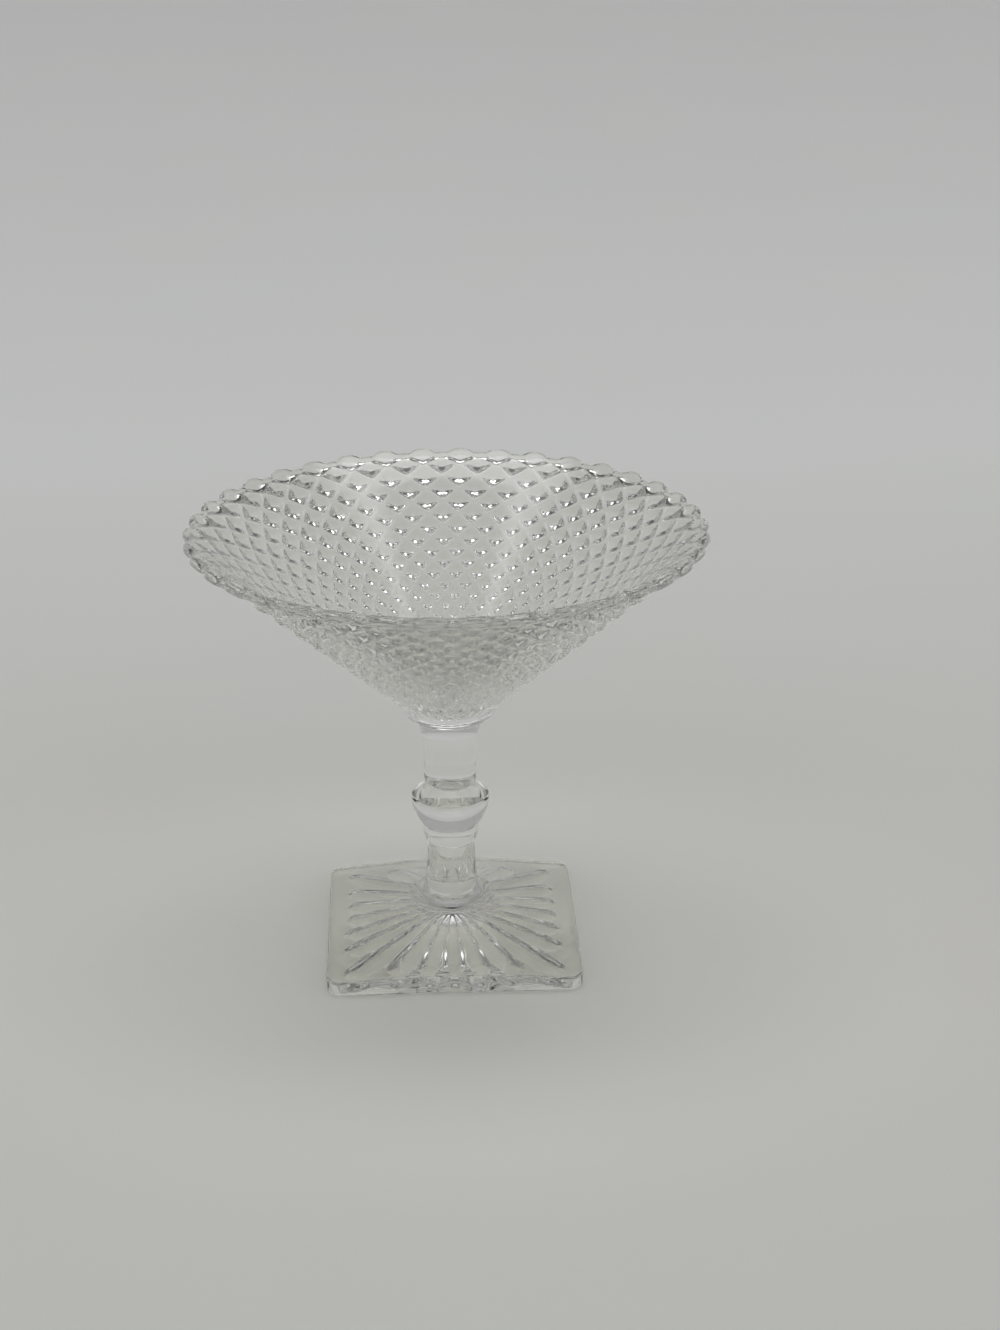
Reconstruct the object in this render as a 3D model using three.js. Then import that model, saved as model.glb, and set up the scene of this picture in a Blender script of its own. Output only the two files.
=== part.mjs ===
// A square-footed candy bowl of clear pressed glass: a wide conical bowl covered in
// diamond points, on a turned stem and a square foot with rays under it.
// Millimetres, +Z up, origin at the middle of the foot's underside.
import * as THREE from 'three';

// Foot plate
const FOOT_SIDE = 76.2;
const FOOT_CORNER_RADIUS = 4.5;
const FOOT_EDGE_ROUND = 0.8;
const FOOT_CORNER_HEIGHT = 4.3;
const FOOT_CROWN_HEIGHT = 13.5;
const FOOT_FLARE_POWER = 1.47;

// Rays pressed into the underside of the foot
const RAY_COUNT = 24;
const RAY_MARGIN = 7.0;
const RAY_GROOVE_RADIUS = 4.0;
const RAY_TIP_DEPTH = 1.2;
const HUB_DIAMETER = 22.0;
const HUB_DEPTH = 4.2;

// Stem, from the boss on the foot up to the collar under the bowl
const BOSS_DIAMETER = 26.6;
const BOSS_HEIGHT = 3.5;
const BOSS_STEP = 0.8;
const BOSS_SWEEP_DIAMETER = 18.8;
const BOSS_SWEEP_HEIGHT = 1.2;
const LOWER_STEM_BASE_DIAMETER = 16.2;
const LOWER_STEM_WAIST_DIAMETER = 15.0;
const LOWER_STEM_WAIST_HEIGHT = 5.1;
const LOWER_STEM_DIAMETER = 14.2;
const LOWER_STEM_HEIGHT = 15.3;
const KNOP_SEAT_DIAMETER = 17.0;
const BEAD_HEIGHT = 5.9;
const BEAD_SWELL_HEIGHT = 1.2;
const KNOP_BELLY_DIAMETER = 23.2;
const KNOP_DIAMETER = 23.6;
const KNOP_EDGE_DIAMETER = 22.0;
const KNOP_HEIGHT = 13.4;
const KNOP_BELLY_HEIGHT = 4.0;
const KNOP_SHOULDER_HEIGHT = 9.2;
const KNOP_EDGE_HEIGHT = 10.8;
const KNOP_EDGE_ROUND = 0.5;
const NECK_DIAMETER = 14.4;
const COLUMN_DIAMETER = 15.8;
const COLUMN_HEIGHT = 21.1;
const COLUMN_FOOT_ROUND = 3.0;
const COLUMN_FOOT_SWELL = 0.8;
const FLARE_DIAMETER = 20.2;
const FLARE_HEIGHT = 9.7;
const FLARE_BEND_HEIGHT = 4.8;
const COLLAR_DIAMETER = 28.4;
const COLLAR_HEIGHT = 5.0;
const COLLAR_SWELL_HEIGHT = 1.5;

// Bowl
const BOWL_DIAMETER = 152.4;
const BOWL_HEIGHT = 55.8;
const BOWL_WALL = 3.8;
const BOWL_DISH_RADIUS = 26.0;
const BOWL_BASE_BAND = 1.6;

// Scalloped lip and diamond points
const SCALLOP_COUNT = 38;
const SCALLOP_RISE = 1.7;
const SCALLOP_RADIUS = 5.8;
const SCALLOP_REACH = 5.2;
const LIP_RADIUS = 1.6;
const LIP_FLARE = 1.0;
const LIP_FLARE_LENGTH = 14.0;
const LIP_NOTCH_DEPTH = 0.6;
const DIAMOND_DEPTH = 2.2;
const DEPTH_TAPER = 0.8;
const DIAMOND_ROW = 4.6;
const ROW_TAPER = 1.5;
const RUN_OUT_ROWS = 1.1;

// Facets round a turned section, and along each of its curves
const ROUND_STEPS = 40;
const BEND_STEPS = 5;

// Heights of the flat joints between the sections
const BOSS_TOP = FOOT_CROWN_HEIGHT + BOSS_HEIGHT;
const LOWER_STEM_TOP = BOSS_TOP + LOWER_STEM_HEIGHT;
const BEAD_TOP = LOWER_STEM_TOP + BEAD_HEIGHT;
const KNOP_TOP = BEAD_TOP + KNOP_HEIGHT;
const COLUMN_TOP = KNOP_TOP + COLUMN_HEIGHT;
const COLLAR_TOP = COLUMN_TOP + COLLAR_HEIGHT;
const RIM_TOP = COLLAR_TOP + BOWL_HEIGHT;

const clearGlass = new THREE.MeshStandardMaterial({
  color: 0xdfe5df,
  roughness: 0.05,
  metalness: 0,
  transparent: true,
  opacity: 0.4,
});

// A closed skin laid from a pole on the axis, ring by ring, to a second pole on the axis.
// Rings run anticlockwise seen from above, from the underside outwards, up and back in.
class Skin {
  constructor() {
    this.positions = [];
    this.faces = [];
  }

  point(position) {
    this.positions.push(position.x, position.y, position.z);
    return this.positions.length / 3 - 1;
  }

  ring(count, place) {
    return Array.from({ length: count }, (_, column) => this.point(place(column)));
  }

  startPole(height, ring) {
    const pole = this.point(new THREE.Vector3(0, 0, height));
    ring.forEach((from, column) => this.faces.push(pole, ring[(column + 1) % ring.length], from));
  }

  endPole(ring, height) {
    const pole = this.point(new THREE.Vector3(0, 0, height));
    ring.forEach((from, column) => this.faces.push(from, ring[(column + 1) % ring.length], pole));
  }

  // Joins two rings of equal count. Where leansBack is true the crease runs the other way.
  join(below, above, leansBack = () => false) {
    below.forEach((a, column) => {
      const next = (column + 1) % below.length;
      const [b, c, d] = [below[next], above[next], above[column]];
      if (leansBack(column)) this.faces.push(a, b, d, b, c, d);
      else this.faces.push(a, b, c, a, c, d);
    });
  }

  // Joins a ring to one above it that has twice as many points.
  joinToFiner(below, above) {
    below.forEach((a, column) => {
      const b = below[(column + 1) % below.length];
      const [left, middle] = [above[2 * column], above[2 * column + 1]];
      const right = above[(2 * column + 2) % above.length];
      this.faces.push(a, b, middle, a, middle, left, b, right, middle);
    });
  }

  // Joins a ring to one above it that has half as many points.
  joinToCoarser(below, above) {
    above.forEach((a, column) => {
      const b = above[(column + 1) % above.length];
      const [left, middle] = [below[2 * column], below[2 * column + 1]];
      const right = below[(2 * column + 2) % below.length];
      this.faces.push(left, middle, a, middle, b, a, middle, right, b);
    });
  }

  geometry() {
    const geometry = new THREE.BufferGeometry();
    geometry.setAttribute('position', new THREE.Float32BufferAttribute(this.positions, 3));
    geometry.setIndex(this.faces);
    geometry.computeVertexNormals();
    return geometry;
  }
}

function polar(radius, angle, height) {
  return new THREE.Vector3(radius * Math.cos(angle), radius * Math.sin(angle), height);
}

// A turned section: straight flat ends on the axis, and curves in between, lowest first.
function turnedSection(curves) {
  const outline = curves.flatMap((curve, index) => curve.getPoints(BEND_STEPS).slice(index ? 1 : 0));
  const profile = [
    new THREE.Vector2(0, outline[0].y),
    ...outline,
    new THREE.Vector2(0, outline.at(-1).y),
  ];
  const geometry = new THREE.LatheGeometry(profile, ROUND_STEPS);
  geometry.rotateX(Math.PI / 2);
  return geometry;
}

function bend(startRadius, startHeight, handleRadius, handleHeight, endRadius, endHeight) {
  return new THREE.QuadraticBezierCurve(
    new THREE.Vector2(startRadius, startHeight),
    new THREE.Vector2(handleRadius, handleHeight),
    new THREE.Vector2(endRadius, endHeight),
  );
}

// Distance from the foot's middle to the edge of its rounded square, in one direction.
function footReach(angle) {
  const half = FOOT_SIDE / 2;
  const across = Math.abs(Math.cos(angle));
  const along = Math.abs(Math.sin(angle));
  const [larger, smaller] = [Math.max(across, along), Math.min(across, along)];
  const cornerMiddle = half - FOOT_CORNER_RADIUS;
  if (half * smaller / larger <= cornerMiddle) return half / larger;
  const sideways = cornerMiddle * (larger - smaller);
  const outwards = cornerMiddle * (larger + smaller);
  return outwards + Math.sqrt(FOOT_CORNER_RADIUS ** 2 - sideways ** 2);
}

// Directions of the columns of points round the foot: four for each ray, and the corner arcs.
function footAngles() {
  const turn = 2 * Math.PI;
  const rayColumns = 4 * RAY_COUNT;
  const rayAngles = Array.from({ length: rayColumns }, (_, column) => column * turn / rayColumns);
  const cornerSpread = Math.PI / 4 - Math.atan2(FOOT_SIDE / 2 - FOOT_CORNER_RADIUS, FOOT_SIDE / 2);
  const corners = [1, 3, 5, 7].map((eighth) => eighth * turn / 8);
  const cornerAngles = corners.flatMap((middle) =>
    [-1, -0.5, 0.5, 1].map((share) => middle + share * cornerSpread));
  const nearestAllowed = cornerSpread / 8;
  const clearOfCorners = rayAngles.filter((angle) =>
    cornerAngles.every((other) => Math.abs(angle - other) > nearestAllowed));
  return [...clearOfCorners, ...cornerAngles].sort((a, b) => a - b);
}

// Height of the foot's flared top at a distance from the axis.
function footTop(radius) {
  const corner = footReach(Math.PI / 4);
  const boss = BOSS_DIAMETER / 2;
  const share = (corner - radius) / (corner - boss);
  const rise = FOOT_CROWN_HEIGHT - FOOT_CORNER_HEIGHT;
  return FOOT_CORNER_HEIGHT + rise * Math.max(share, 0) ** FOOT_FLARE_POWER;
}

// Where the rays end: a square set in from the foot's edges.
function rayReach(angle) {
  const larger = Math.max(Math.abs(Math.cos(angle)), Math.abs(Math.sin(angle)));
  return (FOOT_SIDE / 2 - RAY_MARGIN) / larger;
}

// Height of the underside: round grooves that deepen from the ray tips to the hub.
function rayHeight(radius, angle) {
  const pitch = 2 * Math.PI / RAY_COUNT;
  const offset = angle - pitch * Math.round(angle / pitch);
  const hub = HUB_DIAMETER / 2;
  const share = (rayReach(angle) - radius) / (rayReach(angle) - hub);
  const depth = RAY_TIP_DEPTH + (HUB_DEPTH - RAY_TIP_DEPTH) * share;
  const sideways = radius * Math.sin(offset);
  return Math.max(0, depth - sideways ** 2 / (2 * RAY_GROOVE_RADIUS));
}

function footPlate() {
  const skin = new Skin();
  const angles = footAngles();
  const hub = HUB_DIAMETER / 2;
  const boss = BOSS_DIAMETER / 2;
  const ringAt = (reach, height) => skin.ring(angles.length, (column) => {
    const angle = angles[column];
    const radius = reach(angle);
    return polar(radius, angle, height(radius, angle));
  });
  const flat = () => 0;
  const inset = (angle) => footReach(angle) - FOOT_EDGE_ROUND;
  const alongRay = (share) => (angle) => hub + (rayReach(angle) - hub) * share;
  const alongTop = (share) => (angle) => boss + (inset(angle) - boss) * share;
  const rings = [
    ...[0, 0.3, 0.6, 0.8, 0.94].map((share) => ringAt(alongRay(share), rayHeight)),
    ringAt(rayReach, flat),
    ringAt(inset, flat),
    ringAt(footReach, () => FOOT_EDGE_ROUND),
    ringAt(footReach, (radius) => footTop(radius) - FOOT_EDGE_ROUND),
    ...[1, 0.75, 0.5, 0.25].map((share) => ringAt(alongTop(share), footTop)),
    ringAt(() => boss, () => FOOT_CROWN_HEIGHT),
  ];
  skin.startPole(HUB_DEPTH, rings[0]);
  rings.slice(1).forEach((ring, index) => skin.join(rings[index], ring));
  skin.endPole(rings.at(-1), FOOT_CROWN_HEIGHT);
  return skin.geometry();
}

function footBoss() {
  const rim = BOSS_DIAMETER / 2;
  const stem = LOWER_STEM_BASE_DIAMETER / 2;
  const step = FOOT_CROWN_HEIGHT + BOSS_STEP;
  const sweep = BOSS_SWEEP_DIAMETER / 2;
  const sweepHeight = FOOT_CROWN_HEIGHT + BOSS_SWEEP_HEIGHT;
  return turnedSection([
    bend(rim, FOOT_CROWN_HEIGHT, rim, step, rim - BOSS_STEP, step),
    bend(rim - BOSS_STEP, step, sweep, sweepHeight, stem, BOSS_TOP),
  ]);
}

function lowerStem() {
  const base = LOWER_STEM_BASE_DIAMETER / 2;
  const waist = LOWER_STEM_WAIST_DIAMETER / 2;
  const top = LOWER_STEM_DIAMETER / 2;
  return turnedSection([
    bend(base, BOSS_TOP, waist, BOSS_TOP + LOWER_STEM_WAIST_HEIGHT, top, LOWER_STEM_TOP),
  ]);
}

function beadRing() {
  const bottom = LOWER_STEM_DIAMETER / 2;
  const top = KNOP_SEAT_DIAMETER / 2;
  return turnedSection([
    bend(bottom, LOWER_STEM_TOP, top, LOWER_STEM_TOP + BEAD_SWELL_HEIGHT, top, BEAD_TOP),
  ]);
}

function knop() {
  const seat = KNOP_SEAT_DIAMETER / 2;
  const belly = KNOP_BELLY_DIAMETER / 2;
  const shoulder = KNOP_DIAMETER / 2;
  const edge = KNOP_EDGE_DIAMETER / 2;
  const neck = NECK_DIAMETER / 2;
  const shoulderHeight = BEAD_TOP + KNOP_SHOULDER_HEIGHT;
  const edgeHeight = BEAD_TOP + KNOP_EDGE_HEIGHT;
  return turnedSection([
    bend(seat, BEAD_TOP, belly, BEAD_TOP + KNOP_BELLY_HEIGHT, shoulder, shoulderHeight),
    bend(shoulder, shoulderHeight, shoulder, edgeHeight - KNOP_EDGE_ROUND, edge, edgeHeight),
    bend(edge, edgeHeight, (edge + neck) / 2, (edgeHeight + KNOP_TOP) / 2, neck, KNOP_TOP),
  ]);
}

function column() {
  const neck = NECK_DIAMETER / 2;
  const shaft = COLUMN_DIAMETER / 2;
  const mouth = FLARE_DIAMETER / 2;
  const footTopHeight = KNOP_TOP + COLUMN_FOOT_ROUND;
  const flareStart = COLUMN_TOP - FLARE_HEIGHT;
  return turnedSection([
    bend(neck, KNOP_TOP, shaft, KNOP_TOP + COLUMN_FOOT_SWELL, shaft, footTopHeight),
    bend(shaft, flareStart, shaft, flareStart + FLARE_BEND_HEIGHT, mouth, COLUMN_TOP),
  ]);
}

function collar() {
  const mouth = FLARE_DIAMETER / 2;
  const edge = COLLAR_DIAMETER / 2;
  return turnedSection([
    bend(mouth, COLUMN_TOP, edge, COLUMN_TOP + COLLAR_SWELL_HEIGHT, edge, COLLAR_TOP),
  ]);
}

// The bowl's outside is a cone of diamond points between two crossing families of grooves.
// The rows grow closer towards the collar, by a power of their number, and the grooves shallower.
// Near the lip the grooves run out within a row or two.
function bowl() {
  const skin = new Skin();
  const columns = 2 * SCALLOP_COUNT;
  const halfPitch = Math.PI / SCALLOP_COUNT;
  const base = COLLAR_DIAMETER / 2;

  // The cone runs from the collar and passes just outside the middle of the rounded lip.
  const lipMiddle = new THREE.Vector2(BOWL_DIAMETER / 2 - LIP_RADIUS, RIM_TOP - LIP_RADIUS);
  const rise = lipMiddle.clone().sub(new THREE.Vector2(base, COLLAR_TOP));
  const lipUnder = LIP_RADIUS - LIP_FLARE;
  const slope = Math.atan2(rise.x, rise.y) + Math.asin(lipUnder / rise.length());
  const [sine, cosine] = [Math.sin(slope), Math.cos(slope)];
  const apexHeight = COLLAR_TOP - base / Math.tan(slope);
  const lipSlant = lipMiddle.x * sine + (lipMiddle.y - apexHeight) * cosine;

  // A point on the wall: its distance up the cone, and how far it lies under the points.
  const onWall = (slant, under, angle) => polar(
    slant * sine - under * cosine,
    angle,
    apexHeight + slant * cosine + under * sine,
  );
  const flareAt = (slant) => LIP_FLARE * Math.max(0, 1 - (lipSlant - slant) / LIP_FLARE_LENGTH) ** 2;

  // Diamond rows, from the lowest that clears the plain base band up to the scallops.
  const topSlant = lipSlant - SCALLOP_REACH;
  const lowestShare = (base / sine + BOWL_BASE_BAND) / topSlant;
  const allRows = ROW_TAPER * topSlant / DIAMOND_ROW;
  const rows = Math.floor(allRows * (1 - lowestShare ** (1 / ROW_TAPER)));
  const isPoint = (row, column) => (row + column) % 2 === 1;
  const rowRing = (row) => {
    const share = (1 - row / allRows) ** ROW_TAPER;
    const slant = topSlant * share;
    const grooveDepth = DIAMOND_DEPTH * share ** DEPTH_TAPER * Math.min(1, (row + 1) / RUN_OUT_ROWS);
    return skin.ring(columns, (column) => {
      const under = isPoint(row, column) ? 0 : grooveDepth;
      return onWall(slant, under - flareAt(slant), column * halfPitch);
    });
  };
  const baseRing = skin.ring(columns, (column) => polar(base, column * halfPitch, COLLAR_TOP));
  const rowRings = Array.from({ length: rows + 1 }, (_, index) => rowRing(rows - index));

  // Half-round lip, in scallops: full over each tip, thinner and lower in the notches between.
  const lipColumns = 2 * columns;
  const lipRing = (share) => skin.ring(lipColumns, (column) => {
    const fromTip = Math.min(column % 4, 4 - column % 4) / 2;
    const aside = Math.min(fromTip * halfPitch * BOWL_DIAMETER / 2, SCALLOP_RADIUS);
    const dip = Math.min(SCALLOP_RISE, SCALLOP_RADIUS - Math.sqrt(SCALLOP_RADIUS ** 2 - aside ** 2));
    const recess = LIP_NOTCH_DEPTH * fromTip ** 2;
    const radius = LIP_RADIUS - recess / 2;
    const swing = share * Math.PI;
    return onWall(
      lipSlant - dip + radius * Math.sin(swing),
      lipUnder + recess / 2 - radius * Math.cos(swing),
      column * halfPitch / 2,
    );
  });
  const lipRings = [0, 0.25, 0.5, 0.75, 1].map(lipRing);

  // Smooth inside: the cone runs down into a round dish on the axis.
  const innerApex = apexHeight + BOWL_WALL / sine;
  const dishMiddle = innerApex + BOWL_DISH_RADIUS / sine;
  const dishRing = (share) => {
    const swing = share * (Math.PI / 2 - slope);
    return skin.ring(columns, (column) => polar(
      BOWL_DISH_RADIUS * Math.sin(swing),
      column * halfPitch,
      dishMiddle - BOWL_DISH_RADIUS * Math.cos(swing),
    ));
  };
  const innerRing = skin.ring(columns, (column) =>
    onWall(lipSlant - LIP_FLARE_LENGTH, BOWL_WALL, column * halfPitch));
  const insideRings = [innerRing, ...[1, 0.66, 0.33].map(dishRing)];

  skin.startPole(COLLAR_TOP, baseRing);
  skin.join(baseRing, rowRings[0]);
  rowRings.slice(1).forEach((ring, index) => {
    const row = rows - index - 1;
    skin.join(rowRings[index], ring, (column) => !isPoint(row, column));
  });
  skin.joinToFiner(rowRings.at(-1), lipRings[0]);
  lipRings.slice(1).forEach((ring, index) => skin.join(lipRings[index], ring));
  skin.joinToCoarser(lipRings.at(-1), insideRings[0]);
  insideRings.slice(1).forEach((ring, index) => skin.join(insideRings[index], ring));
  skin.endPole(insideRings.at(-1), dishMiddle - BOWL_DISH_RADIUS);
  return skin.geometry();
}

const candyBowl = new THREE.Group();
const sections = {
  foot_plate: footPlate,
  foot_boss: footBoss,
  lower_stem: lowerStem,
  bead_ring: beadRing,
  knop,
  stem_column: column,
  bowl_collar: collar,
  bowl,
};
for (const [name, makeGeometry] of Object.entries(sections)) {
  const section = new THREE.Mesh(makeGeometry(), clearGlass);
  section.name = name;
  candyBowl.add(section);
}

export default candyBowl;
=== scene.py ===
import bpy
import numpy as np
from mathutils import Matrix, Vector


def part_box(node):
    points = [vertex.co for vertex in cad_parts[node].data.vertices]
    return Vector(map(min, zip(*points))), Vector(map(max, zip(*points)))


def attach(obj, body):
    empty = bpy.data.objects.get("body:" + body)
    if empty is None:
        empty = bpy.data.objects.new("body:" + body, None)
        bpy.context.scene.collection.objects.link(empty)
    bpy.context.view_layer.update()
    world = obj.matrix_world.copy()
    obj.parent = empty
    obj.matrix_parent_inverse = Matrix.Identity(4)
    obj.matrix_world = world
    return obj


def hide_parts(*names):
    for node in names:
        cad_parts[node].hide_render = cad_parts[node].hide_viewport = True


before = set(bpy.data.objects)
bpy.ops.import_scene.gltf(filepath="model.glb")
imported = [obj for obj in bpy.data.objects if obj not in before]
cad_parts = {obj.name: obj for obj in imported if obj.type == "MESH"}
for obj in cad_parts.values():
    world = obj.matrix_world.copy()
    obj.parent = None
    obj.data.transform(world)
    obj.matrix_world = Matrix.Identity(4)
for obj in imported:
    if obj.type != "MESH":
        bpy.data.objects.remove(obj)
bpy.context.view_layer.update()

# Foot plate
# The square foot is clear pressed glass. Its top sweeps up to the boss like a low tent, and a
# plunger has pressed 24 round-bottomed rays into its underside, which stands on a flat border.
mm = 0.001
foot_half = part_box("foot_plate")[1][0]
foot_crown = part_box("foot_plate")[1][2]
boss_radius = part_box("foot_boss")[1][0]
foot_corner_round = 4.5 * mm
foot_edge_round = 0.8 * mm
foot_corner_height = 4.3 * mm
foot_flare_power = 1.47
ray_count = 24
ray_margin = 7.0 * mm
ray_cutter_radius = 4.0 * mm
ray_tip_depth = 1.2 * mm
hub_radius = 11.0 * mm
hub_depth = 4.2 * mm
foot_columns = 480
hub_steps, ray_steps, border_steps, edge_steps, side_steps, top_steps = 4, 56, 4, 6, 4, 36
foot_tint = (0.993, 1.0, 0.972, 1.0)
foot_ripple_size, foot_ripple_depth = 14 * mm, 0.03 * mm
ripple_detail = 1.0
glass_index = 1.52
dullest_gloss = 0.03


def pressed_glass(name, tint, ripple_size, ripple_depth):
    """Clear glass from a press mould: a clear body with a faint tint, a skin that ripples gently where
    the gather chilled against the iron, and a gloss that is a little duller in some patches than in
    others."""
    glass = bpy.data.materials.new(name)
    glass.use_nodes = True
    nodes, links = glass.node_tree.nodes, glass.node_tree.links
    body = nodes["Principled BSDF"]
    body.inputs["Base Color"].default_value = tint
    body.inputs["IOR"].default_value = glass_index
    body.inputs["Transmission Weight"].default_value = 1.0
    place = nodes.new("ShaderNodeTexCoord")
    ripple = nodes.new("ShaderNodeTexNoise")
    ripple.inputs["Scale"].default_value = 1.0 / ripple_size
    ripple.inputs["Detail"].default_value = ripple_detail
    chill = nodes.new("ShaderNodeBump")
    chill.inputs["Strength"].default_value = 1.0
    chill.inputs["Distance"].default_value = ripple_depth
    patches = nodes.new("ShaderNodeMapRange")
    patches.inputs["To Min"].default_value = 0.0
    patches.inputs["To Max"].default_value = dullest_gloss
    links.new(place.outputs["Object"], ripple.inputs["Vector"])
    links.new(ripple.outputs["Fac"], chill.inputs["Height"])
    links.new(chill.outputs["Normal"], body.inputs["Normal"])
    links.new(ripple.outputs["Fac"], patches.inputs["Value"])
    links.new(patches.outputs["Result"], body.inputs["Roughness"])
    return glass


def fused_joint():
    """The place where two sections melted into one another: light goes straight through it."""
    joint = bpy.data.materials.new("fused_joint")
    joint.use_nodes = True
    nodes, links = joint.node_tree.nodes, joint.node_tree.links
    nodes.remove(nodes["Principled BSDF"])
    through = nodes.new("ShaderNodeBsdfTransparent")
    links.new(through.outputs["BSDF"], nodes["Material Output"].inputs["Surface"])
    return joint


def closed_skin(name, rings, start_pole, end_pole, joints, creases, leans, glass):
    """A closed skin over a grid of points. rings[i, j] is point j, anticlockwise from above, of ring i,
    counted from the middle of the underside outwards, up and back to the axis. The cell between two
    rings is cut from its lower left to its upper right corner, or the other way where leans is true.
    A fan closes each end ring to its pole on the axis. joints says which of the two fans are fused
    joints, and creases lists the rings at which the skin turns a sharp corner. The piece takes the
    place of the solid that it is named after."""
    ring_count, columns = rings.shape[:2]
    number = np.arange(ring_count * columns).reshape(ring_count, columns)
    a, d = number[:-1], number[1:]
    b, c = np.roll(a, -1, axis=1), np.roll(d, -1, axis=1)
    forwards = np.stack([a, b, c, a, c, d], axis=-1)
    backwards = np.stack([a, b, d, b, c, d], axis=-1)
    wall = np.where(leans[..., None], backwards, forwards).reshape(-1, 3)
    first, last = np.full(columns, number.size), np.full(columns, number.size + 1)
    start_fan = np.stack([first, np.roll(number[0], -1), number[0]], axis=-1)
    end_fan = np.stack([number[-1], np.roll(number[-1], -1), last], axis=-1)
    faces = np.concatenate([wall, start_fan, end_fan])
    poles = np.array([[0.0, 0.0, start_pole], [0.0, 0.0, end_pole]])
    mesh = bpy.data.meshes.new(name)
    mesh.from_pydata(np.concatenate([rings.reshape(-1, 3), poles]), [], faces)
    mesh.materials.append(glass)
    mesh.materials.append(bpy.data.materials.get("fused_joint") or fused_joint())
    in_joint = np.zeros(len(faces), dtype=np.int32)
    in_joint[len(wall):len(wall) + columns] = joints[0]
    in_joint[len(wall) + columns:] = joints[1]
    mesh.polygons.foreach_set("material_index", in_joint)
    mesh.polygons.foreach_set("use_smooth", in_joint == 0)
    ends = np.zeros(2 * len(mesh.edges), dtype=np.int32)
    mesh.edges.foreach_get("vertices", ends)
    ring_of_ends = ends.reshape(-1, 2) // columns
    along_ring = ring_of_ends[:, 0] == ring_of_ends[:, 1]
    sharp = along_ring & np.isin(ring_of_ends[:, 0], creases)
    mesh.attributes.new("sharp_edge", "BOOLEAN", "EDGE").data.foreach_set("value", sharp)
    mesh.update()
    piece = bpy.data.objects.new(name, mesh)
    bpy.context.scene.collection.objects.link(piece)
    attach(piece, "root")
    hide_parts(name.replace("_glass", ""))


def rounded_square_reach(angle):
    """Distance from the middle to the edge of the rounded square: half / the larger of |cos| and |sin|
    on the straight sides, and where that lies past the corner's middle, the far side of the corner
    circle."""
    across, along = np.abs(np.cos(angle)), np.abs(np.sin(angle))
    larger, smaller = np.maximum(across, along), np.minimum(across, along)
    middle = foot_half - foot_corner_round
    aside = middle * (larger - smaller)
    corner = middle * (larger + smaller) + np.sqrt(np.maximum(foot_corner_round ** 2 - aside ** 2, 0))
    return np.where(foot_half * smaller / larger <= middle, foot_half / larger, corner)


def foot_top(radius):
    """Height of the flared top: the corner's height, plus the rise times the share of the way in from
    the corner to the boss, to a power."""
    corner = rounded_square_reach(np.pi / 4)
    share = np.clip((corner - radius) / (corner - boss_radius), 0, 1)
    return foot_corner_height + (foot_crown - foot_corner_height) * share ** foot_flare_power


def ray_reach(angle):
    """Where the rays end: a plain square, set in from the foot's sides by the margin."""
    return (foot_half - ray_margin) / np.maximum(np.abs(np.cos(angle)), np.abs(np.sin(angle)))


def ray_height(radius, angle):
    """Height of the underside over the table. Each ray is the track of a round cutter: its depth falls
    evenly from the hub to the tip, less the square of the distance from the track over twice the
    cutter's radius."""
    pitch = 2 * np.pi / ray_count
    offset = angle - pitch * np.round(angle / pitch)
    middle = angle - offset
    tip = ray_reach(middle) - np.sqrt(2 * ray_cutter_radius * ray_tip_depth)
    along, aside = radius * np.cos(offset), radius * np.sin(offset)
    share = np.clip((tip - along) / (tip - hub_radius), 0, 1)
    depth = ray_tip_depth + (hub_depth - ray_tip_depth) * share
    past = np.maximum(along - tip, 0)
    return np.maximum(depth - (aside ** 2 + past ** 2) / (2 * ray_cutter_radius), 0)


def foot_plate_rings():
    """The foot's section in each direction: hub, ray, flat border, rounded lower edge, side, rounded
    upper edge and flared top, with the same number of rings in each direction."""
    angle = np.linspace(0, 2 * np.pi, foot_columns, endpoint=False)[None, :]
    reach = rounded_square_reach(angle)
    inset = reach - foot_edge_round
    flat = np.zeros_like(angle)

    def steps(count):
        """Even shares of the way, from one step to the whole of it, one to a ring."""
        return np.linspace(1 / count, 1, count)[:, None]

    hub = hub_radius * steps(hub_steps) + flat
    ray = hub_radius + (ray_reach(angle) - hub_radius) * steps(ray_steps)
    border = ray_reach(angle) + (inset - ray_reach(angle)) * steps(border_steps)
    swing = steps(edge_steps) * np.pi / 2
    low_edge = inset + foot_edge_round * np.sin(swing)
    high_edge = inset + foot_edge_round * np.cos(swing)
    side_top = foot_top(inset) - foot_edge_round
    side = foot_edge_round + (side_top - foot_edge_round) * steps(side_steps)
    top = boss_radius + (inset - boss_radius) * (1 - steps(top_steps))
    radius = np.concatenate([hub, ray, border, low_edge, reach + 0 * side, high_edge, top])
    height = np.concatenate([
        ray_height(hub, angle),
        ray_height(ray, angle),
        0 * border,
        foot_edge_round * (1 - np.cos(swing)) + flat,
        side,
        side_top + foot_edge_round * np.sin(swing),
        foot_top(top),
    ])
    return np.stack([radius * np.cos(angle), radius * np.sin(angle), height], axis=-1)


foot_rings = foot_plate_rings()
foot_leans = np.zeros((foot_rings.shape[0] - 1, foot_columns), dtype=bool)
closed_skin(
    "foot_plate_glass", foot_rings, hub_depth, foot_crown, (0, 1), [foot_rings.shape[0] - 1], foot_leans,
    pressed_glass("foot_glass", foot_tint, foot_ripple_size, foot_ripple_depth))

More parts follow.
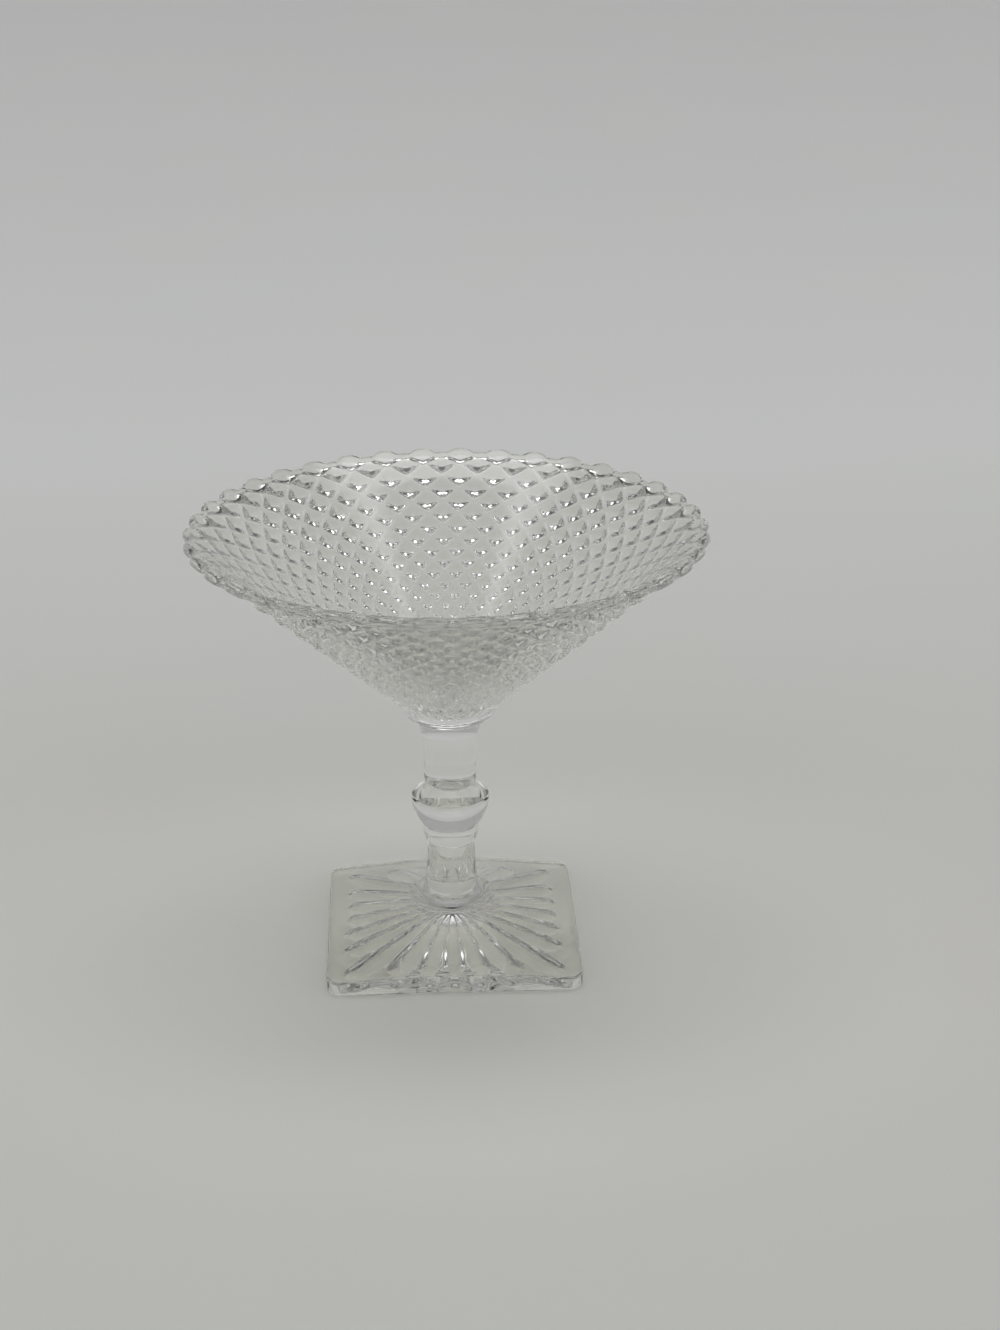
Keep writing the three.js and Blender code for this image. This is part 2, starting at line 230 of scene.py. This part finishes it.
# Foot boss
# A low round boss of the same glass, left by the ring of the mould where the stem was pressed on
# to the foot. It steps up from the foot and sweeps into the stem.
boss_low, boss_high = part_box("foot_boss")
boss_step = 0.8 * mm
boss_shoulder = boss_low[2] + boss_step
stem_base_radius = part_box("lower_stem")[1][0]
boss_sweep_share = 0.25
boss_sweep_radius = (1 - boss_sweep_share) * stem_base_radius + boss_sweep_share * boss_radius
round_columns = 192
short_bend, middle_bend, long_bend = 16, 24, 32
stem_tint = (0.994, 0.992, 0.983, 1.0)
stem_ripple_size, stem_ripple_depth = 9 * mm, 0.02 * mm


def bend(start, handle, end, count):
    """Points along a curve that leaves start towards the handle and comes in to end from it:
    (1 - t)^2 start + 2 t (1 - t) handle + t^2 end."""
    t = np.linspace(0, 1, count)[:, None]
    return (1 - t) ** 2 * np.array(start) + 2 * t * (1 - t) * np.array(handle) + t ** 2 * np.array(end)


def turned_section(name, curves, glass):
    """A section turned on the axis: its outline, given as curves of radius and height from the lower
    joint up, carried round in a full circle, with a sharp corner at each of its two joints."""
    outline = np.concatenate([curves[0]] + [curve[1:] for curve in curves[1:]])
    angle = np.linspace(0, 2 * np.pi, round_columns, endpoint=False)
    radius, height = outline[:, 0][:, None], outline[:, 1][:, None]
    rings = np.stack([radius * np.cos(angle), radius * np.sin(angle), height + 0 * angle], axis=-1)
    leans = np.zeros((len(outline) - 1, round_columns), dtype=bool)
    creases = [0, len(outline) - 1]
    closed_skin(name, rings, outline[0, 1], outline[-1, 1], (1, 1), creases, leans, glass)


turned_section("foot_boss_glass", [
    bend((boss_radius, boss_low[2]),
         (boss_radius, boss_shoulder),
         (boss_radius - boss_step, boss_shoulder), middle_bend),
    bend((boss_radius - boss_step, boss_shoulder),
         (boss_sweep_radius, boss_shoulder + boss_step / 2),
         (stem_base_radius, boss_high[2]), middle_bend),
], pressed_glass("boss_glass", stem_tint, stem_ripple_size, stem_ripple_depth))

# Lower stem
# A short solid rod of glass between the boss and the bead, a little stouter at its foot.
lower_low, lower_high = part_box("lower_stem")
lower_stem_radius = 7.1 * mm
lower_stem_waist = 7.5 * mm
lower_waist_height = lower_low[2] + (lower_high[2] - lower_low[2]) / 3
lower_stem_bend = 40
turned_section("lower_stem_glass", [
    bend((stem_base_radius, lower_low[2]),
         (lower_stem_waist, lower_waist_height),
         (lower_stem_radius, lower_high[2]), lower_stem_bend),
], pressed_glass("lower_stem_glass_body", stem_tint, stem_ripple_size, stem_ripple_depth))

# Bead ring
# A narrow bead under the knop, pressed in the same mould as the stem.
bead_low, bead_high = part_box("bead_ring")
bead_swell = 1.2 * mm
knop_seat_radius = 8.5 * mm
turned_section("bead_ring_glass", [
    bend((lower_stem_radius, bead_low[2]),
         (knop_seat_radius, bead_low[2] + bead_swell),
         (knop_seat_radius, bead_high[2]), middle_bend),
], pressed_glass("bead_glass", stem_tint, stem_ripple_size, stem_ripple_depth))

# Knop
# The round knop in the middle of the stem: a full lower half, a tight edge and a straight shoulder
# that slopes up to the column.
knop_low, knop_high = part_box("knop")
knop_radius = knop_high[0]
knop_swell_radius, knop_swell_height = 11.6 * mm, knop_low[2] + 4.0 * mm
knop_widest_height = knop_low[2] + 9.0 * mm
knop_edge_radius, knop_edge_height = 11.5 * mm, knop_low[2] + 9.8 * mm
knop_edge_inset, knop_edge_drop = 0.1 * mm, 0.4 * mm
neck_radius = 7.2 * mm
turned_section("knop_glass", [
    bend((knop_seat_radius, knop_low[2]),
         (knop_swell_radius, knop_swell_height),
         (knop_radius, knop_widest_height), long_bend),
    bend((knop_radius, knop_widest_height),
         (knop_radius - knop_edge_inset, knop_edge_height - knop_edge_drop),
         (knop_edge_radius, knop_edge_height), short_bend),
    bend((knop_edge_radius, knop_edge_height),
         ((knop_edge_radius + neck_radius) / 2, (knop_edge_height + knop_high[2]) / 2),
         (neck_radius, knop_high[2]), short_bend),
], pressed_glass("knop_glass_body", stem_tint, stem_ripple_size, stem_ripple_depth))

# Stem column
# The upper rod of the stem, rounded in at its foot and flared at its top to carry the bowl.
column_low, column_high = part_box("stem_column")
column_radius = 7.9 * mm
flare_radius = column_high[0]
column_foot_round = 3.0 * mm
flare_height = 9.7 * mm
flare_start = column_high[2] - flare_height
turned_section("stem_column_glass", [
    bend((neck_radius, column_low[2]),
         (column_radius, column_low[2] + column_foot_round / 4),
         (column_radius, column_low[2] + column_foot_round), middle_bend),
    bend((column_radius, flare_start),
         (column_radius, (flare_start + column_high[2]) / 2),
         (flare_radius, column_high[2]), long_bend),
], pressed_glass("column_glass", stem_tint, stem_ripple_size, stem_ripple_depth))

# Bowl collar
# The wafer of glass on which the bowl is stuck to the stem, rounded underneath.
collar_low, collar_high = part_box("bowl_collar")
collar_radius = collar_high[0]
collar_swell = 1.5 * mm
turned_section("bowl_collar_glass", [
    bend((flare_radius, collar_low[2]),
         (collar_radius, collar_low[2] + collar_swell),
         (collar_radius, collar_high[2]), long_bend),
], pressed_glass("collar_glass", stem_tint, stem_ripple_size, stem_ripple_depth))

# Bowl
# The wide conical bowl, pressed smooth inside by the plunger and covered outside by the mould in rows
# of diamond points, softened by the fire polish. Its lip is rounded and rises in 38 scallops.
bowl_low, bowl_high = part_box("bowl")
bowl_radius = bowl_high[0]
bowl_wall = 3.8 * mm
bowl_dish_radius = 26.0 * mm
bowl_base_band = 1.6 * mm
scallop_count = 38
scallop_rise = 1.7 * mm
scallop_round = 5.8 * mm
scallop_reach = 5.2 * mm
lip_radius = 1.6 * mm
lip_flare = 1.0 * mm
lip_flare_length = 14.0 * mm
diamond_depth = 2.2 * mm
depth_taper = 0.8
diamond_row = 4.6 * mm
row_taper = 1.5
run_out_rows = 1.1
crown_share, groove_share = 0.25, 0.85
ridge_power = 3.0
lobe_power = 5.0
cell_steps, lobe_steps = 6, 14
band_steps, lip_steps, inner_steps, dish_steps = 4, 20, 10, 14
bowl_tint = (0.996, 1.0, 0.968, 1.0)
bowl_ripple_size, bowl_ripple_depth = 5 * mm, 0.03 * mm


def diamond_relief(across, rows):
    """Depth under the points' own cone, as a share of the full depth. Two families of grooves cross where
    across + rows and across - rows are even. Between them each point is a pyramid with a rounded crown,
    rounded ridges and rounded grooves. a and b run from 0 in its middle to 1 in the grooves; g(a) is a
    parabola up to the crown's share, straight to the groove's share and a parabola to 1; the depth is
    (1 - (1 - g(a)^k) (1 - g(b)^k))^(1/k). The lobes of the lip, above the scallops' feet, are flat pads,
    1 - (1 - a^n) (1 - b^n), and all the grooves run out smoothly towards the lip."""
    rising, falling = across + rows, across - rows
    middle_rising, middle_falling = 2 * np.floor(rising / 2) + 1, 2 * np.floor(falling / 2) + 1
    from_rising, from_falling = np.abs(rising - middle_rising), np.abs(falling - middle_falling)

    def facet(aside):
        """A point's section, g: round crown, straight side, round groove."""
        slope = 2 / (1 + groove_share - crown_share)
        crown = slope * aside ** 2 / (2 * crown_share)
        straight = slope * (aside - crown_share / 2)
        groove = 1 - slope * (1 - aside) ** 2 / (2 * (1 - groove_share))
        return np.where(aside < crown_share, crown, np.where(aside < groove_share, straight, groove))

    def blunt(first, second, power):
        """1 - (1 - first^power) (1 - second^power)."""
        return 1 - (1 - first ** power) * (1 - second ** power)

    point = blunt(facet(from_rising), facet(from_falling), ridge_power) ** (1 / ridge_power)
    lobe = blunt(from_rising, from_falling, lobe_power)
    in_lobe = middle_rising - middle_falling < -1
    run_out = np.clip((rows + 1) / run_out_rows, 0, 1)
    return np.where(in_lobe, lobe, point) * run_out ** 2 * (3 - 2 * run_out)


def bowl_rings():
    """The bowl's section in each direction, from the collar up the outside, over the half-round lip and
    down the smooth inside to the dish. A place on the wall is its distance up the cone from the cone's
    tip and its depth under the cone through the points. Row q lies at (1 - q / all)^taper of the way up
    from the cone's tip to the scallops' feet. A scallop is an arc of a circle, no deeper than its rise,
    and the dish is part of a ball that runs into the wall. Returns the rings, the way each cell is cut,
    and the dish's height."""
    half_pitch = np.pi / scallop_count
    columns = 2 * scallop_count * cell_steps
    across = np.arange(columns)[None, :] / cell_steps
    angle = across * half_pitch
    lip_middle = np.array([bowl_radius - lip_radius, bowl_high[2] - lip_radius])
    rise = lip_middle - np.array([collar_radius, bowl_low[2]])
    slope = np.arctan2(rise[0], rise[1]) + np.arcsin((lip_radius - lip_flare) / np.hypot(*rise))
    sine, cosine = np.sin(slope), np.cos(slope)
    tip_height = bowl_low[2] - collar_radius / np.tan(slope)
    lip_slant = lip_middle[0] * sine + (lip_middle[1] - tip_height) * cosine
    scallop_slant = lip_slant - scallop_reach
    all_rows = row_taper * scallop_slant / diamond_row

    def near_lip(slant):
        """How far the lip's flare has come: the square of the share of its length that is passed."""
        return np.clip(1 - (lip_slant - slant) / lip_flare_length, 0, None) ** 2

    def outside(slant):
        """Depth of the outer face: the relief times its full depth, less the lip's flare."""
        rows = all_rows * (1 - (slant / scallop_slant) ** (1 / row_taper))
        depth = diamond_depth * np.minimum(slant / scallop_slant, 1) ** depth_taper
        return depth * diamond_relief(across, rows) - lip_flare * near_lip(slant)

    def inside(slant):
        """Depth of the inner face: the wall, going over to the lip's own thickness."""
        return bowl_wall - (bowl_wall - 2 * lip_radius + lip_flare) * near_lip(slant)

    def steps(count, start, end):
        """Even steps from start to end, one to a ring."""
        return np.linspace(start, end, count)[:, None]

    from_tip = np.abs(np.mod(across + 1, 2) - 1) * half_pitch * bowl_radius
    arc = scallop_round - np.sqrt(np.maximum(scallop_round ** 2 - from_tip ** 2, 0))
    lip_start = lip_slant - np.minimum(arc, scallop_rise)
    base_slant = collar_radius / sine
    lowest_share = (base_slant + bowl_base_band) / scallop_slant
    row_count = int(np.floor(all_rows * (1 - lowest_share ** (1 / row_taper))))
    rows = steps(row_count * cell_steps + 1, row_count, 0)
    slant_rows = scallop_slant * (1 - rows / all_rows) ** row_taper + 0 * angle
    up_band = steps(band_steps, 0, 1 - 1 / band_steps)
    slant_band = base_slant + (slant_rows[:1] - base_slant) * up_band
    slant_lobes = scallop_slant + (lip_start - scallop_slant) * steps(lobe_steps, 1 / lobe_steps, 1)
    under_band = outside(slant_rows[:1]) * up_band
    swing = steps(lip_steps - 1, np.pi / lip_steps, np.pi * (1 - 1 / lip_steps))
    lip_half = (inside(lip_start) - outside(lip_start)) / 2
    lip_under = (inside(lip_start) + outside(lip_start)) / 2
    inner_end = lip_slant - lip_flare_length
    slant_inner = lip_start + (inner_end - lip_start) * steps(inner_steps, 0, 1)
    slant = np.concatenate([
        slant_band, slant_rows, slant_lobes, lip_start + lip_half * np.sin(swing), slant_inner])
    under = np.concatenate([
        under_band, outside(slant_rows), outside(slant_lobes), lip_under - lip_half * np.cos(swing),
        inside(slant_inner)])
    radius = slant * sine - under * cosine
    height = tip_height + slant * cosine + under * sine
    dish_middle = tip_height + (bowl_wall + bowl_dish_radius) / sine
    dish_swing = steps(dish_steps, 1, 1 / dish_steps) * (np.pi / 2 - slope)
    dish_radius = bowl_dish_radius * np.sin(dish_swing) + 0 * angle
    dish_height = dish_middle - bowl_dish_radius * np.cos(dish_swing) + 0 * angle
    radius = np.concatenate([radius, dish_radius])
    height = np.concatenate([height, dish_height])
    rings = np.stack([radius * np.cos(angle), radius * np.sin(angle), height], axis=-1)
    leans = np.zeros(rings.shape[:2], dtype=bool)
    row_of_cell = np.floor((rows[:-1] + rows[1:]) / 2)
    column_of_cell = np.floor(across)
    lobes = band_steps + len(row_of_cell)
    leans[band_steps:lobes] = np.mod(row_of_cell + column_of_cell, 2) == 0
    leans[lobes:lobes + lobe_steps] = np.mod(column_of_cell, 2) == 1
    return rings, leans[:-1], dish_middle - bowl_dish_radius


bowl_points, bowl_leans, dish_floor = bowl_rings()
closed_skin(
    "bowl_glass", bowl_points, bowl_low[2], dish_floor, (1, 0), [0], bowl_leans,
    pressed_glass("bowl_glass_body", bowl_tint, bowl_ripple_size, bowl_ripple_depth))

# Floor and backdrop
# A wide sheet of pale paper that lies flat under the bowl and rises gently far behind it.
sheet_front, sheet_back = -3.0, 1.6
sheet_half_width = 3.0
sheet_rise_start = 0.5
sheet_rise = 0.1
sheet_gap = 0.2 * mm
sheet_rows, sheet_columns = 93, 13
# The near colour is the paper's own. The palest paints a pool of light behind the bowl, and the far one
# paints shade beyond.
painted_light_start, painted_light_peak = 0.1, 0.5
paper_near = (0.80, 0.80, 0.765, 1.0)
painted_light_pool = (0.88, 0.89, 0.88, 1.0)
painted_far_shade = (0.75, 0.745, 0.745, 1.0)
paper_roughness, paper_shine = 0.8, 0.2
grain_scale, grain_detail, grain_share = 9.0, 4.0, 0.06


def sheet_surface():
    """Height over the floor is the rise times the square of the share of the way from where the rise
    starts to the back edge, the same all across the width, less a small gap under the foot."""
    forward = np.linspace(sheet_front, sheet_back, sheet_rows)[None, :]
    sideways = np.linspace(-sheet_half_width, sheet_half_width, sheet_columns)[:, None]
    share = np.clip((forward - sheet_rise_start) / (sheet_back - sheet_rise_start), 0, 1)
    points = np.stack(np.broadcast_arrays(
        sideways, forward, sheet_rise * share ** 2 - sheet_gap), axis=-1)
    number = np.arange(points.shape[0] * points.shape[1]).reshape(points.shape[:2])
    quads = np.stack([number[:-1, :-1], number[1:, :-1], number[1:, 1:], number[:-1, 1:]], axis=-1)
    return points.reshape(-1, 3), quads.reshape(-1, 4)


def paper_with_painted_light():
    """Pale paper: a soft cloudy grain, a painted pool of light behind the bowl and painted shade beyond.
    """
    pale = bpy.data.materials.new("paper_with_painted_light")
    pale.use_nodes = True
    nodes, links = pale.node_tree.nodes, pale.node_tree.links
    paper = nodes["Principled BSDF"]
    paper.inputs["Roughness"].default_value = paper_roughness
    paper.inputs["Specular IOR Level"].default_value = paper_shine
    place = nodes.new("ShaderNodeTexCoord")
    along = nodes.new("ShaderNodeSeparateXYZ")
    far = nodes.new("ShaderNodeMapRange")
    far.inputs["From Min"].default_value = painted_light_start
    far.inputs["From Max"].default_value = sheet_back
    shade = nodes.new("ShaderNodeValToRGB")
    # Painted pool of light behind the bowl and painted shade farther back, laid over the paper's own
    # colour.
    shade.color_ramp.elements[0].color = paper_near
    shade.color_ramp.elements[1].color = painted_far_shade
    painted_light_share = (painted_light_peak - painted_light_start) / (sheet_back - painted_light_start)
    shade.color_ramp.elements.new(painted_light_share).color = painted_light_pool
    grain = nodes.new("ShaderNodeTexNoise")
    grain.inputs["Scale"].default_value = grain_scale
    grain.inputs["Detail"].default_value = grain_detail
    cloud = nodes.new("ShaderNodeMix")
    cloud.data_type = "RGBA"
    cloud.blend_type = "SOFT_LIGHT"
    cloud.inputs["Factor"].default_value = grain_share
    links.new(place.outputs["Object"], grain.inputs["Vector"])
    links.new(place.outputs["Object"], along.inputs["Vector"])
    links.new(along.outputs["Y"], far.inputs["Value"])
    links.new(far.outputs["Result"], shade.inputs["Fac"])
    links.new(shade.outputs["Color"], cloud.inputs["A"])
    links.new(grain.outputs["Color"], cloud.inputs["B"])
    links.new(cloud.outputs["Result"], paper.inputs["Base Color"])
    return pale


sheet_points, sheet_quads = sheet_surface()
sheet_mesh = bpy.data.meshes.new("pale_sheet")
sheet_mesh.from_pydata(sheet_points, [], sheet_quads)
sheet_mesh.polygons.foreach_set("use_smooth", np.ones(len(sheet_quads), dtype=bool))
sheet_mesh.materials.append(paper_with_painted_light())
pale_sheet = bpy.data.objects.new("pale_sheet", sheet_mesh)
bpy.context.scene.collection.objects.link(pale_sheet)

# Light
# Soft light from all round: a bright oblong of ceiling across the bowl, low light at both sides, a
# soft patch high in front, and grey walls that darken above the eye's height.
walls_towards_back = (-0.9, -0.1, 0.14, 0.34)
walls_upwards = (0.54, 0.64, 1.0, 0.18)
sides_front_edge = (-0.40, -0.10, 0.0, 1.0)
sides_back_edge = (0.15, 0.35, 1.20, 0.0)
sides_low_edge = (0.22, 0.32, 0.0, 1.0)
sides_high_edge = (0.46, 0.58, 1.0, 0.05)
front_back_edge = (-0.45, -0.30, 0.86, 0.0)
front_low_edge = (0.40, 0.55, 0.0, 1.0)
front_high_edge = (0.80, 0.88, 1.0, 0.0)
ceiling_front_edge = (-0.12, -0.04, 0.0, 1.0)
ceiling_back_edge = (0.30, 0.42, 1.0, 0.0)
ceiling_ends = (0.84, 0.92, 0.0, 2.10)


def soft_room():
    """A sky whose light depends on direction alone: grey walls, which dim towards the front and darken
    above the eye's height, low light at left and right, a soft patch high in front, and a bright oblong
    of ceiling that lies across the bowl from left to right. Each is a product of smooth steps, and the
    light is their sum."""
    room = bpy.data.worlds.new("soft_room")
    room.use_nodes = True
    nodes, links = room.node_tree.nodes, room.node_tree.links

    def step(value, edge):
        """A smooth step: edge says at which value it starts and ends, and what it goes from and to."""
        node = nodes.new("ShaderNodeMapRange")
        node.interpolation_type = "SMOOTHSTEP"
        for socket, number in zip(("From Min", "From Max", "To Min", "To Max"), edge):
            node.inputs[socket].default_value = number
        links.new(value, node.inputs["Value"])
        return node.outputs["Result"]

    def combine(operation, first, *others):
        """All the given steps or lights, multiplied or added up."""
        for other in others:
            node = nodes.new("ShaderNodeMath")
            node.operation = operation
            links.new(first, node.inputs[0])
            links.new(other, node.inputs[1])
            first = node.outputs["Value"]
        return first

    place = nodes.new("ShaderNodeTexCoord")
    split = nodes.new("ShaderNodeSeparateXYZ")
    links.new(place.outputs["Generated"], split.inputs["Vector"])
    backward, height = split.outputs["Y"], split.outputs["Z"]
    walls = combine("MULTIPLY", step(backward, walls_towards_back), step(height, walls_upwards))
    sides = combine(
        "MULTIPLY", step(backward, sides_back_edge), step(backward, sides_front_edge),
        step(height, sides_low_edge), step(height, sides_high_edge))
    front = combine(
        "MULTIPLY", step(height, front_low_edge), step(height, front_high_edge),
        step(backward, front_back_edge))
    ceiling = combine(
        "MULTIPLY", step(backward, ceiling_front_edge), step(backward, ceiling_back_edge),
        step(height, ceiling_ends))
    light = combine("ADD", walls, front, sides, ceiling)
    links.new(light, nodes["Background"].inputs["Strength"])
    nodes["Background"].inputs["Color"].default_value = (1.0, 1.0, 1.0, 1.0)
    return room


bpy.context.scene.world = soft_room()

# Camera
# Stands in front of the bowl and a little above it, as the photograph was taken.
view_distance = 718.27 * mm
view_elevation = np.radians(22.32)
view_yaw = np.radians(-2.39)
view_roll = np.radians(-0.30)
view_aside, view_up = 15.15 * mm, 18.04 * mm
view_aim = np.array([0.0, 0.0, 70.0 * mm])
film_width = 36.0
photo_focal, photo_height = 2400, 1330
nearest_view, farthest_view = 0.01, 20.0
back = np.array([
    np.sin(view_yaw) * np.cos(view_elevation),
    -np.cos(view_yaw) * np.cos(view_elevation),
    np.sin(view_elevation)])
level = np.array([np.cos(view_yaw), np.sin(view_yaw), 0.0])
upright = np.cross(back, level)
right = level * np.cos(view_roll) + upright * np.sin(view_roll)
up = upright * np.cos(view_roll) - level * np.sin(view_roll)
stand = np.eye(4)
stand[:3, 0], stand[:3, 1], stand[:3, 2] = right, up, back
stand[:3, 3] = view_aim + back * view_distance + right * view_aside + up * view_up
eye = bpy.data.cameras.new("eye")
eye.sensor_width = film_width
eye.lens = film_width * photo_focal / photo_height
eye.clip_start, eye.clip_end = nearest_view, farthest_view
eye_holder = bpy.data.objects.new("eye", eye)
eye_holder.matrix_world = Matrix(stand.tolist())
scene = bpy.context.scene
scene.collection.objects.link(eye_holder)
scene.camera = eye_holder
scene.view_settings.view_transform = "Standard"
# Light goes through many faces of glass in turn, and blurred reflections would darken the foot.
scene.cycles.max_bounces = 24
scene.cycles.transmission_bounces = 24
scene.cycles.transparent_max_bounces = 32
scene.cycles.glossy_bounces = 8
scene.cycles.blur_glossy = 0.0
